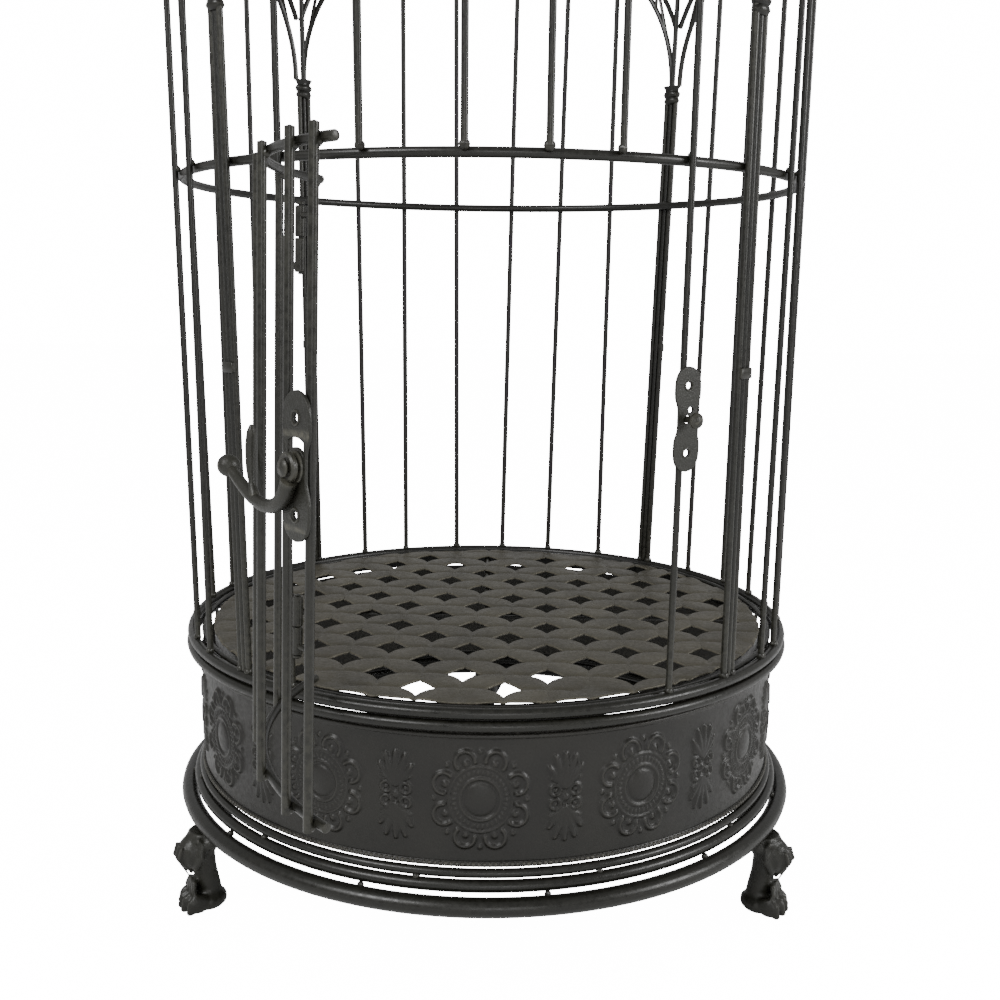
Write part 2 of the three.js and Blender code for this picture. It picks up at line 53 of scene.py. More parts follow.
BODIES = frame["record"]["behaviour"]["bodies"]
BODY_OF = {node: body for body, nodes in BODIES.items() for node in nodes}

MM = 0.001

# ---------------------------------------------------------------- dimensions, as in the CAD part
WIRE_R = 1.6
WALL_R, WALL_FLARE = 166, 0.0095
EAVES_Z, DOME_H, CROWN_R = 440, 150, 18.5
POST_ANGLES = {  # at the foot and at the eaves
    "post_front_left": (-44.8, -46.8),
    "post_front_right": (44.9, 43.2),
    "post_rear_right": (139.2, 135.7),
    "post_rear_left": (-134.8, -134.3),
}
WIRE_ANGLES = {  # by bay, at the foot and at the eaves
    "hinge": [(-33, -33)],
    "latch": [(30.7, 30.7)],
    "right": [(57.5, 57.5), (66, 60.5), (83, 87), (94.3, 94.3),
              (103.2, 102.7), (114, 114), (126, 124.3)],
    "rear": [(151.8, 151.2), (164.9, 162.5), (176.4, 174.2),
             (-172.2, -171.5), (-159.3, -159.3), (-148.6, -147.6)],
    "left": [(-118.4, -119), (-106.5, -106.5), (-97, -91.5),
             (-84, -79), (-67, -72), (-58, -58)],
}
DOOR_HEAD_ANGLES = (-19, -3.8, 8.1, 18.9)
RIM_Z, RIM_R, RIM_ROD = -1, 167, 2.7
MID_Z, MID_R, MID_ROD = 240, 164, 2.3
TOUCH = 0.1  # the gap left where one welded rod meets another
WIRE_FOOT_Z = RIM_Z + RIM_ROD + TOUCH
DOOR_HEAD_Z = MID_Z + MID_ROD + TOUCH
COLLAR_Z, CLIP_Z = 309, 148
POST_PITCH = 3.25
BAND_R, BAND_TOP, BAND_BOTTOM = 162.5, -12, -76.5
FLOOR_R, HOLE_STEP = 155.5, 20.4
SOLE_Z = -140
RINGS = {  # radius, rod radius, height
    "rim_ring_upper": (RIM_R, RIM_ROD, RIM_Z),
    "rim_ring_lower": (RIM_R + 0.5, RIM_ROD, RIM_Z - 5.75),
    "inner_ring": (160.5, 1.5, RIM_Z),
    "middle_ring": (MID_R, MID_ROD, MID_Z),
    "eaves_ring": (166.23, 2, EAVES_Z - 2),
    "base_ring_top": (163.4, 2.2, -79.2),
    "base_ring_middle": (165.6, 3, -84.4),
    "base_ring_bottom": (171.2, 4.6, -92),
}
HINGE = Vector((-84, -147, 114.5))
DOOR_ARC_R, DOOR_CENTRE, DOOR_START = 141.2, (5.7, -25.7), -36.6
DOOR_BARS = (2, 15.2, 30.5, 45.7, 57.8, 64.2)
DOOR_TOP, DOOR_BOTTOM = 229.3, 11.7
DOOR_OPEN, HINGE_LEAN = 78, 1.5


def on_wall(angle, radius, z):
    a = math.radians(angle)
    return Vector((radius * math.sin(a), -radius * math.cos(a), z))


def wall_radius(z):
    return WALL_R + WALL_FLARE * z


def lean(angles, z):
    """The angle at a height, from the angles at the foot and at the eaves."""
    return angles[0] + (angles[1] - angles[0]) * z / EAVES_Z


# ---------------------------------------------------------------- mesh building
END_DOME = 0.35  # how far a rod's end stands out, as a share of its radius


def ring_faces(rows, count, closed=False):
    """Quads between rows of points, where each row is a ring of count points."""
    faces = []
    for i in range(rows if closed else rows - 1):
        a, b = i * count, (i + 1) % rows * count
        faces += [(a + k, a + (k + 1) % count, b + (k + 1) % count, b + k) for k in range(count)]
    return faces


def sweep(path, radii, sides=12):
    """A round rod with domed ends along a list of points; radii is one number or one per point."""
    pts = np.array([tuple(p) for p in path], float)
    count = len(pts)
    radii = np.full(count, radii, float) if np.isscalar(radii) else np.array(radii, float)
    tangents = np.gradient(pts, axis=0)
    tangents /= np.linalg.norm(tangents, axis=1)[:, None]
    u = np.cross(tangents[0], np.eye(3)[np.argmin(np.abs(tangents[0]))])
    turns = np.arange(sides) * 2 * np.pi / sides
    rows = []
    for p, t, r in zip(pts, tangents, radii):
        u = u - t * (u @ t)
        u /= np.linalg.norm(u)
        rows.append(p + r * (np.cos(turns)[:, None] * u + np.sin(turns)[:, None] * np.cross(t, u)))
    verts = list(np.concatenate(rows))
    faces = ring_faces(count, sides)
    for end, sign in ((0, -1), (count - 1, 1)):
        tip = len(verts)
        verts.append(pts[end] + sign * tangents[end] * radii[end] * END_DOME)
        for k in range(sides):
            edge = (end * sides + k, end * sides + (k + 1) % sides)
            faces.append((tip, *(edge if sign > 0 else edge[::-1])))
    return np.array(verts), faces


def straight(a, b, radius, sides=12):
    a, b = Vector(a), Vector(b)
    return sweep([a + (b - a) * t for t in (0, 0.34, 0.67, 1)], radius, sides)


def lathe(profile, segments=32, closed=False):
    """A turned body about Z from (radius, height) points."""
    turns = np.arange(segments) * 2 * np.pi / segments
    verts = [(r * math.cos(a), r * math.sin(a), z) for r, z in profile for a in turns]
    return np.array(verts, float), ring_faces(len(profile), segments, closed)


def torus(radius, rod, z, steps=144, sides=12):
    turns = [2 * math.pi * k / sides for k in range(sides)]
    return lathe([(radius + rod * math.cos(a), z + rod * math.sin(a)) for a in turns], steps, closed=True)


def ball(centre, radii, segments=12, rows=8):
    """An ellipsoid; radii is one number or three."""
    radii = (radii,) * 3 if np.isscalar(radii) else radii
    turns = [math.pi * i / rows for i in range(rows + 1)]
    verts, faces = lathe([(max(math.sin(a), 1e-3), -math.cos(a)) for a in turns], segments)
    return verts * np.array(radii) + np.array(tuple(centre)), faces


def moved(part, matrix):
    verts, faces = part
    m = np.array(matrix)
    return np.array(verts) @ m[:3, :3].T + m[:3, 3], faces


def lump(at, size):
    """A weld lump: a small uneven drop."""
    grow = 1 + 0.25 * rng.random(3)
    return ball(at, tuple(size * g for g in grow), segments=8, rows=6)


def mesh_object(name, parts, crease=35):
    verts, faces, base = [], [], 0
    for v, f in parts:
        verts.append(np.asarray(v, float))
        faces += [tuple(i + base for i in face) for face in f]
        base += len(v)
    mesh = bpy.data.meshes.new(name)
    mesh.from_pydata((np.concatenate(verts) * MM).tolist(), [], faces)
    mesh.validate()
    mesh.update()
    mesh.shade_smooth()
    mesh.set_sharp_from_angle(angle=math.radians(crease))
    obj = bpy.data.objects.new(name, mesh)
    bpy.context.scene.collection.objects.link(obj)
    return obj


def piece(node, parts, look, crease=35):
    """The finished piece that stands for a CAD node, on that node's body."""
    return settle(node, mesh_object(node + ".look", parts, crease), look)


def settle(node, obj, look):
    """Give an object its material and let it stand for its CAD node."""
    obj.data.materials.clear()
    obj.data.materials.append(look)
    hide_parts(node)
    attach(obj, BODY_OF[node])
    return obj


def smooth_line(points, steps=6):
    """Points on a smooth curve through the given ones."""
    pts = [Vector(p) for p in points]
    pts = [pts[0] * 2 - pts[1], *pts, pts[-1] * 2 - pts[-2]]
    out = []
    for i in range(1, len(pts) - 2):
        a, b, c, d = pts[i - 1 : i + 3]
        for k in range(steps):
            t = k / steps
            out.append(0.5 * (2 * b + (c - a) * t + (2 * a - 5 * b + 4 * c - d) * t**2
                              + (3 * b - a - 3 * c + d) * t**3))
    return out + [pts[-2]]


def apply_modifiers(obj):
    """Replace an object's mesh by what its modifiers make of it."""
    graph = bpy.context.evaluated_depsgraph_get()
    graph.update()
    mesh = bpy.data.meshes.new_from_object(obj.evaluated_get(graph))
    obj.modifiers.clear()
    old, obj.data = obj.data, mesh
    bpy.data.meshes.remove(old)
    return obj


# ---------------------------------------------------------------- materials
CLOUD_SHADE = 0.62  # how dark the cloudy patches are against the paint's own colour


def paint(name, base, worn, rough, bump):
    """Satin paint over metal: cloudy colour, fine pits, and rubbed lighter edges."""
    mat = bpy.data.materials.new(name)
    mat.use_nodes = True
    tree = mat.node_tree
    node, link = tree.nodes.new, tree.links.new
    shader = tree.nodes["Principled BSDF"]
    where = node("ShaderNodeTexCoord").outputs["Object"]

    def noise(size, detail):
        n = node("ShaderNodeTexNoise")
        n.inputs["Scale"].default_value = size
        n.inputs["Detail"].default_value = detail
        link(where, n.inputs["Vector"])
        return n.outputs["Fac"]

    def spread(source, low, high, to_low, to_high):
        m = node("ShaderNodeMapRange")
        limits = {"From Min": low, "From Max": high, "To Min": to_low, "To Max": to_high}
        for socket, value in limits.items():
            m.inputs[socket].default_value = value
        link(source, m.inputs["Value"])
        return m.outputs["Result"]

    def mix(amount, first, second):
        m = node("ShaderNodeMix")
        m.data_type = "RGBA"
        link(amount, m.inputs[0])
        for socket, value in ((6, first), (7, second)):
            if isinstance(value, tuple):
                m.inputs[socket].default_value = (*value, 1)
            else:
                link(value, m.inputs[socket])
        return m.outputs[2]

    cloud, fine, pits = noise(26, 5), noise(420, 3), noise(1300, 2)
    dark = tuple(CLOUD_SHADE * c for c in base)
    body = mix(spread(cloud, 0.36, 0.66, 0, 1), dark, base)
    edges = spread(node("ShaderNodeNewGeometry").outputs["Pointiness"], 0.53, 0.62, 0, 0.75)
    rubbed = node("ShaderNodeMath")
    rubbed.operation = "MULTIPLY"
    link(edges, rubbed.inputs[0])
    link(spread(fine, 0.35, 0.6, 0.3, 1), rubbed.inputs[1])
    colour = mix(rubbed.outputs[0], body, worn)
    link(colour, shader.inputs["Base Color"])
    link(spread(fine, 0.3, 0.7, rough - 0.07, rough + 0.09), shader.inputs["Roughness"])
    shader.inputs["Specular IOR Level"].default_value = 0.34
    relief = node("ShaderNodeMath")
    relief.operation = "ADD"
    link(fine, relief.inputs[0])
    link(spread(pits, 0.3, 0.7, 0, 0.45), relief.inputs[1])
    dent = node("ShaderNodeBump")
    dent.inputs["Strength"].default_value = bump
    dent.inputs["Distance"].default_value = 0.4 * MM
    link(relief.outputs[0], dent.inputs["Height"])
    link(dent.outputs["Normal"], shader.inputs["Normal"])
    return mat


# name, colour, colour where rubbed, roughness, bump
ROD_PAINT = paint("rod_paint", (0.0058, 0.0057, 0.0040), (0.035, 0.034, 0.026), 0.33, 0.07)
CAST_PAINT = paint("cast_paint", (0.014, 0.0138, 0.0100), (0.07, 0.067, 0.052), 0.4, 0.3)
SHEET_PAINT = paint("sheet_paint", (0.0105, 0.0098, 0.0076), (0.055, 0.052, 0.042), 0.4, 0.2)
FLOOR_PAINT = paint("floor_paint", (0.050, 0.0455, 0.0325), (0.14, 0.128, 0.096), 0.46, 0.3)


# ---------------------------------------------------------------- wires and posts
ROD_ORDER = [top for _, top in POST_ANGLES.values()] + list(DOOR_HEAD_ANGLES)
ROD_ORDER += [top for bay in WIRE_ANGLES.values() for _, top in bay]
ROD_ORDER.sort()
CROWN_STEP = 360 / len(ROD_ORDER)
CROWN_TURN = sum(a - i * CROWN_STEP for i, a in enumerate(ROD_ORDER)) / len(ROD_ORDER)
WALL_STEPS, DOME_STEPS = 9, 22


def wire_path(angles, foot_z):
    """Straight from the foot to the eaves, then over the dome to the crown."""
    foot = on_wall(lean(angles, foot_z), wall_radius(foot_z), foot_z)
    eaves = on_wall(angles[1], wall_radius(EAVES_Z), EAVES_Z)
    path = [foot.lerp(eaves, t) for t in np.linspace(0, 0.97, WALL_STEPS)]
    crown = CROWN_TURN + ROD_ORDER.index(angles[1]) * CROWN_STEP
    for share in np.linspace(0.01, 1, DOME_STEPS):
        a = share * math.pi / 2
        radius = CROWN_R + (wall_radius(EAVES_Z) - CROWN_R) * math.cos(a)
        path.append(on_wall(angles[1] + share * (crown - angles[1]), radius, EAVES_Z + DOME_H * math.sin(a)))
    return path


def foot_weld(angle, foot_z, size=2.0):
    return lump(on_wall(angle, wall_radius(0) + 0.3, foot_z + 0.2), size)


def ring_welds(angles):
    """Small welds inside the wall where a wire meets the middle and the eaves rings."""
    return [
        lump(on_wall(lean(angles, z), wall_radius(z) - 1.5, z + above), size)
        for z, above, size in ((MID_Z, 2.0, 1.3), (EAVES_Z, -4.2, 1.2))
    ]


def make_wires():
    for bay, rows in WIRE_ANGLES.items():
        for i, angles in enumerate(rows):
            parts = [sweep(wire_path(angles, WIRE_FOOT_Z), WIRE_R), foot_weld(angles[0], WIRE_FOOT_Z)]
            parts += ring_welds(angles)
            piece(f"{bay}_wire_{i + 1}", parts, ROD_PAINT)
    for i, angle in enumerate(DOOR_HEAD_ANGLES):
        weld = lump(on_wall(angle, wall_radius(MID_Z) - 0.6, DOOR_HEAD_Z + 0.3), 2.1)
        parts = [sweep(wire_path((angle, angle), DOOR_HEAD_Z), WIRE_R), weld]
        piece(f"door_head_wire_{i + 1}", parts, ROD_PAINT)


def upright_frame(angle, radius, z):
    """+X sideways along the wall, -Y outwards, +Z up."""
    return Matrix.Translation(on_wall(angle, radius, z)) @ Matrix.Rotation(math.radians(angle), 4, "Z")


def rounded_slab(width, depth, height, corner=0.7):
    """An upright block with soft corners, centred on the origin."""
    outline = []
    for cx, cy, start in ((1, 1, 0), (-1, 1, 90), (-1, -1, 180), (1, -1, 270)):
        for k in range(4):
            a = math.radians(start + 30 * k)
            outline.append((cx * (width / 2 - corner) + corner * math.cos(a),
                            cy * (depth / 2 - corner) + corner * math.sin(a)))
    levels = [(-height / 2, 0.8), (-height / 2 + 0.5, 1), (height / 2 - 0.5, 1), (height / 2, 0.8)]
    count = len(outline)
    verts = [(x * s, y * s, z) for z, s in levels for x, y in outline]
    faces = ring_faces(len(levels), count)
    faces += [tuple(reversed(range(count))), tuple(range(3 * count, 4 * count))]
    return np.array(verts), faces


COLLAR = [(3.2, -5.4), (4.6, -4.6), (5.6, -3.2), (5.0, -1.9), (4.5, -1.2), (5.5, -0.4), (6.0, 1.0),
          (5.4, 2.2), (4.6, 2.8), (4.9, 4.0), (5.9, 5.4), (6.1, 6.0), (3.0, 6.2)]
COLLAR_DEPTH = 0.62  # its depth as a share of its width
CLIP = (8.8, 3.2, 5.2)


def make_posts():
    """Each post is a wire with a shorter rod on each side, a clip round them, and a collar on top."""
    side_turn = math.degrees(POST_PITCH / wall_radius(0))
    for name, angles in POST_ANGLES.items():
        parts = [sweep(wire_path(angles, WIRE_FOOT_Z), WIRE_R)]
        for side in (-side_turn, side_turn):
            ends = [on_wall(lean(angles, z) + side, wall_radius(at), z)
                    for z, at in ((WIRE_FOOT_Z, 0), (COLLAR_Z, COLLAR_Z))]
            parts += [straight(*ends, WIRE_R), foot_weld(lean(angles, 0) + side, WIRE_FOOT_Z, 2.1)]
        parts += ring_welds(angles)
        at_clip = upright_frame(lean(angles, CLIP_Z), wall_radius(CLIP_Z) + 0.9, CLIP_Z)
        parts.append(moved(rounded_slab(*CLIP), at_clip))
        at_collar = upright_frame(lean(angles, COLLAR_Z), wall_radius(COLLAR_Z), COLLAR_Z)
        parts.append(moved(lathe(COLLAR, 20), at_collar @ Matrix.Diagonal((1, COLLAR_DEPTH, 1, 1))))
        piece(name, parts, ROD_PAINT, crease=50)


HOOP = [(154.4, -0.9), (155.2, -0.9), (155.2, -9), (154.4, -9)]  # stands under the floor plate's edge
DRIP_ANGLES = (-20, 5, 32, 75, 118, 160, -150, -105, -62)
RING_LUMPS = {  # first angle, inwards and upwards from the rod's centre, size
    "base_ring_middle": (-161, 0.6, 2.9, 1.5),
    "base_ring_bottom": (-170, 3.0, 4.0, 1.6),
}


def make_rings():
    for name, (radius, rod, z) in RINGS.items():
        parts = [torus(radius, rod, z)]
        if name == "inner_ring":
            parts.append(lathe(HOOP, 144, closed=True))
        if name == "rim_ring_lower":
            parts += [ball(on_wall(a, radius - 2.2, z - 2.3), (2.6, 1.6, 1.8)) for a in DRIP_ANGLES]
        if name in RING_LUMPS:
            first, inwards, upwards, size = RING_LUMPS[name]
            parts += [lump(on_wall(first + 30 * k, radius - inwards, z + upwards), size) for k in range(12)]
        piece(name, parts, ROD_PAINT)


# ---------------------------------------------------------------- arches and crown
ARCH_ROD, ARCH_H, ARCH_GAP = 1.6, 110, 8
ARCH_FOOT_Z, ARCH_INSET, ARCH_OUT = COLLAR_Z + 6.4, 3, 3.6
ARCH_STEPS, ARCH_ENDS = 60, 4
LATTICE_ROD, LATTICE_BARS = 1.1, 22


def arch_point(start, end, lift, share):
    """A point of an arch between two posts; lift is how far the rod runs outside the lower one."""
    half = math.radians(end - start) / 2 * wall_radius(COLLAR_Z)
    reach = half - ARCH_INSET + lift
    first = math.acos((half - ARCH_ROD) / reach) if lift > 0 else 0
    a = first + share * (math.pi - 2 * first)
    z = ARCH_FOOT_Z + (ARCH_H + lift) * math.sin(a)
    angle = (start + end) / 2 + math.degrees(-reach * math.cos(a) / wall_radius(COLLAR_Z))
    return on_wall(angle, wall_radius(z) + ARCH_OUT, z)


def make_arches():
    """Two curved rods with a zigzag of thin bars between them, from post to post."""
    places = [lean(a, COLLAR_Z) for a in POST_ANGLES.values()]
    spans = {
        "arch_front": (places[0], places[1]),
        "arch_right": (places[1], places[2]),
        "arch_rear": (places[2], places[3] + 360),
        "arch_left": (places[3], places[0]),
    }
    pitch = (ARCH_STEPS - 2 * ARCH_ENDS) / LATTICE_BARS
    for name, (start, end) in spans.items():
        rods = [[arch_point(start, end, lift, t) for t in np.linspace(0, 1, ARCH_STEPS + 1)]
                for lift in (0, ARCH_GAP)]
        parts = [sweep(rod, ARCH_ROD, 10) for rod in rods]
        knots = [rods[i % 2][round(ARCH_ENDS + i * pitch)] for i in range(LATTICE_BARS + 1)]
        for p, q in zip(knots, knots[1:]):
            parts += [straight(p, q, LATTICE_ROD, 8), lump(q, 1.5)]
        piece(name, parts, ROD_PAINT)


FINIAL = [(0.01, -8), (12, -8.2), (16.6, -7), (18.1, -5), (18.1, 4), (16.8, 6), (13, 8), (8, 9.6),
          (5.4, 11.4), (4, 14.4), (4.4, 17), (6.6, 19.6), (9, 22.4), (10, 26.8), (9.2, 30.6),
          (6.6, 34.2), (4, 36.4), (3.4, 39), (4.4, 40.8), (5.5, 43), (5.6, 46), (5.4, 49.6),
          (4.4, 52), (2.4, 53.6), (0.01, 54)]
EYE_Z, EYE_R, EYE_REACH = 46, 2.9, 9
CARRY_R, CARRY_ROD = 15, 1.6


def make_crown():
    """A turned finial with an eye drilled through it, and the ring that hangs in the eye."""
    top = Matrix.Translation((0, 0, EAVES_Z + DOME_H))
    body = mesh_object("crown_finial.look", [moved(lathe(FINIAL, 40), top)], 30)
    drill = sweep([(x, 0, EYE_Z) for x in (-EYE_REACH, 0, EYE_REACH)], EYE_R, 20)
    cutter = mesh_object("cutter", [moved(drill, top)])
    cut = body.modifiers.new("eye", "BOOLEAN")
    cut.object, cut.solver = cutter, "EXACT"
    apply_modifiers(body)
    bpy.data.objects.remove(cutter)
    settle("crown_finial", body, CAST_PAINT)
    upright = Matrix.Translation((0, 0, EYE_Z + CARRY_R)) @ Matrix.Rotation(math.pi / 2, 4, "X")
    piece("carrying_ring", [moved(torus(CARRY_R, CARRY_ROD, 0, 64), top @ upright)], ROD_PAINT)


# ---------------------------------------------------------------- embossed band
def ridge(distance, width, height):
    """A rounded ridge of a given half width where distance is 0."""
    return height * np.exp(-((distance / width) ** 2) ** 1.4)


def to_segment(x, y, a, b):
    """Distance to a segment and how far along it, 0 to 1."""
    dx, dy = b[0] - a[0], b[1] - a[1]
    t = np.clip(((x - a[0]) * dx + (y - a[1]) * dy) / (dx * dx + dy * dy), 0, 1)
    return np.hypot(x - a[0] - t * dx, y - a[1] - t * dy), t


SCROLLS, SCROLL_R, BEAD_R, NOTCHES = 8, 18.2, 21.4, 34


def medallion(x, y):
    """A domed centre, three rings, the middle one notched, and eight scrolls with beads round them."""
    q, around = np.hypot(x, y), np.arctan2(y, x)
    notched = 0.25 + 0.75 * (0.5 + 0.5 * np.cos(NOTCHES * around))
    forms = [
        1.15 * np.sqrt(np.clip(1 - (q / 7.4) ** 2, 0, 1)),
        ridge(q - 9.4, 0.9, 0.75),
        ridge(q - 12.1, 1.3, 0.7) * notched,
        ridge(q - 14.6, 0.7, 0.65),
    ]
    for k in range(SCROLLS):
        b = 2 * math.pi * k / SCROLLS
        a = b + math.pi / SCROLLS
        out = x * math.cos(a) + y * math.sin(a) - SCROLL_R
        side = y * math.cos(a) - x * math.sin(a)
        forms.append(ridge(np.hypot(out, side) - 4.6, 1.0, 1.05) * np.clip((out + 2.6) / 1.4, 0, 1))
        forms.append(ridge(np.hypot(out + 1.0, side * 1.1), 1.7, 0.95))
        forms += [ridge(np.hypot(out + 1.6, side - way * 4.3), 1.15, 1.0) for way in (-1, 1)]
        forms.append(ridge(np.hypot(x - BEAD_R * math.cos(b), y - BEAD_R * math.sin(b)), 1.2, 0.75))
    return np.maximum.reduce(forms)


LEAVES = ((90, 17.5), (74, 17), (106, 17), (56, 13.5), (124, 13.5))  # direction, length


def palmette(x, y):
    """Two fans of five leaves, up and down, each over a pair of curls."""
    forms = [ridge(np.hypot(x, y), 2.0, 1.0)]
    for v in (-y, y):
        for degrees, length in LEAVES:
            a = math.radians(degrees)
            tip = (length * math.cos(a), 3.5 + length * math.sin(a) * 0.98)
            d, t = to_segment(x, v, (0, 4), tip)
            forms.append(ridge(d, 0.5 + 1.35 * np.sin(np.clip(t * 0.86, 0, 1) * math.pi), 1.0))
        for u in (-x, x):
            curl = np.hypot(u - 4.7, v - 3.4)
            stem, _ = to_segment(u, v, (2.2, 6.4), (7.0, 9.4))
            forms += [ridge(curl - 2.5, 0.8, 0.9), ridge(curl, 0.9, 0.8), ridge(stem, 0.8, 0.75)]
    return np.maximum.reduce(forms)


BAND_REPEATS, BAND_TURN, MOTIF_Z, RELIEF = 13, -0.8, -43.5, 1.3
BAND_EDGE = [(-2.3, 0.5), (-1.6, 0.95), (-0.8, 1.0), (-0.2, 0.6), (0, -0.2)]  # up from the top, outwards
BEADS = 400


def band_relief(angles, heights):
    """How far the sheet stands out: medallions and palmettes in turn, and a slight unevenness."""
    repeat = 360 / BAND_REPEATS
    half = np.radians(repeat / 2) * BAND_R
    along = np.radians((angles - BAND_TURN + repeat / 2) % repeat - repeat / 2) * BAND_R
    beside = np.where(along > 0, along - half, along + half)
    up = heights - MOTIF_Z
    motifs = np.maximum(medallion(along, up * 0.93), palmette(beside, up))
    fade = np.clip((heights - BAND_BOTTOM - 3) / 3, 0, 1) * np.clip((BAND_TOP - 4 - heights) / 2, 0, 1)
    turns = np.radians(angles)
    wave = 0.22 * np.sin(turns * 5 + 1) * np.sin(heights * 0.09) + 0.12 * np.sin(turns * 17 + heights * 0.2)
    return motifs * fade * RELIEF + wave


def make_band():
    columns, rows = ((1560, 104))
    edge_z, edge_out = np.array(BAND_EDGE).T
    levels = np.concatenate([np.linspace(BAND_BOTTOM + 2.2, BAND_TOP - 2.8, rows), BAND_TOP + edge_z])
    angles, heights = np.meshgrid(np.linspace(-180, 180, columns, endpoint=False), levels)
    relief = band_relief(angles, heights)
    relief[rows:] = edge_out[:, None]
    r, a = BAND_R - 0.2 + relief, np.radians(angles)
    outer = np.stack([r * np.sin(a), -r * np.cos(a), heights], -1).reshape(-1, 3)
    inner = lathe([(BAND_R - 1.4, BAND_TOP - 0.1), (BAND_R - 1.2, BAND_BOTTOM), (BAND_R + 0.2, BAND_BOTTOM),
                   (BAND_R + 0.9, BAND_BOTTOM + 1.1), (BAND_R + 0.1, BAND_BOTTOM + 2.6)], 180)
    lip = lathe([(BAND_R + 0.3, BAND_TOP), (BAND_R - 1.4, BAND_TOP - 0.1)], 180)
    parts = [(outer, ring_faces(len(levels), columns)), inner, lip]
    for k in range(BEADS):
        at = on_wall(360 * k / BEADS, BAND_R + 0.35, BAND_BOTTOM + 1.25)
        parts.append(ball(at, (1.15, 1.15, 1.2), segments=6, rows=5))
    piece("band", parts, SHEET_PAINT, crease=60)


# ---------------------------------------------------------------- pierced floor
PETAL_WIDTH, PETAL_RISE = 8.2, 0.95
HOLE_TIPS, HOLE_CURVE = (9.3, 11.2), 0.9
FLOOR_Z, FLOOR_THICK = -0.9, 0.9
FLOOR_AT, FLOOR_TURN = (-6, 6.5), -2.5
FLOOR_SIDES, FLOOR_MARGIN = 72, 9  # no hole's centre is nearer to the edge than the margin
CROSS_R, CROSS_Z, CROSS_ROD = 158.6, -3.4, 2


def floor_height(u, v):
    """Lens-shaped petals lie along the edges of the cell round each hole."""
    edge = (HOLE_STEP - np.abs(u) - np.abs(v)) / math.sqrt(2)
    along = np.clip(np.abs(np.abs(u) - np.abs(v)) / HOLE_STEP, 0, 1)
    width = PETAL_WIDTH * (1 - along**2) + 0.01
    rise = np.clip(1 - (edge / width) ** 2, 0, 1)
    return PETAL_RISE * rise**0.5 * np.clip((1 - along) * 4, 0, 1)


def floor_cell(cx, cy, has_hole):
    """A diamond-shaped cell of the sheet, from its hole, or its centre, out to its edges."""
    around, rings = 48, 9
    points = []
    for k in range(around):
        c, s = math.cos(2 * math.pi * k / around), math.sin(2 * math.pi * k / around)
        far = HOLE_STEP / (abs(c) + abs(s))
        near = 0.01
        if has_hole:
            rim = (abs(c) / HOLE_TIPS[0]) ** HOLE_CURVE + (abs(s) / HOLE_TIPS[1]) ** HOLE_CURVE
            near = rim ** (-1 / HOLE_CURVE)
        points += [(c * d, s * d) for d in np.linspace(near, far, rings)]
    u, v = np.array(points).T
    faces = []
    for k in range(around):
        a, b = k * rings, (k + 1) % around * rings
        faces += [(a + i, a + i + 1, b + i + 1, b + i) for i in range(rings - 1)]
    return np.stack([u + cx, v + cy, floor_height(u, v) + FLOOR_Z], -1), faces


def make_floor():
    parts = []
    reach = math.ceil(FLOOR_R / HOLE_STEP) + 1
    for i in range(-reach, reach + 1):
        for j in range(-reach, reach + 1):
            x, y = FLOOR_AT[0] + i * HOLE_STEP, FLOOR_AT[1] + j * HOLE_STEP
            far = math.hypot(x, y)
            if (i + j) % 2 == 0 and far < FLOOR_R + 24:
                parts.append(floor_cell(x, y, far < FLOOR_R - FLOOR_MARGIN))
    obj = mesh_object("floor_plate.look", parts, 30)
    bm = bmesh.new()
    bm.from_mesh(obj.data)
    bmesh.ops.remove_doubles(bm, verts=bm.verts, dist=0.02 * MM)
    for k in range(FLOOR_SIDES):  # cut the sheet round
        a = 2 * math.pi * k / FLOOR_SIDES
        out = Vector((math.cos(a), math.sin(a), 0))
        bmesh.ops.bisect_plane(bm, geom=bm.verts[:] + bm.edges[:] + bm.faces[:],
                               plane_co=out * FLOOR_R * MM, plane_no=out, clear_outer=True)
    bmesh.ops.recalc_face_normals(bm, faces=bm.faces)
    bmesh.ops.rotate(bm, verts=bm.verts, matrix=Matrix.Rotation(math.radians(FLOOR_TURN), 3, "Z"))
    bm.to_mesh(obj.data)
    bm.free()
    obj.data.shade_smooth()
    obj.data.set_sharp_from_angle(angle=math.radians(40))
    thick = obj.modifiers.new("thick", "SOLIDIFY")
    thick.thickness, thick.offset = FLOOR_THICK * MM, -1
    apply_modifiers(obj)
    settle("floor_plate", obj, FLOOR_PAINT)
    bars = [straight(on_wall(a, CROSS_R, CROSS_Z), on_wall(a + 180, CROSS_R, CROSS_Z), CROSS_ROD)
            for a in (0, 90)]
    piece("floor_cross", bars, ROD_PAINT)


# ---------------------------------------------------------------- paw feet
FOOT_TOP, FOOT_Y = -96.8, -171.2
FOOT_PLACES = {"foot_left": -60, "foot_right": 60, "foot_rear": 180}


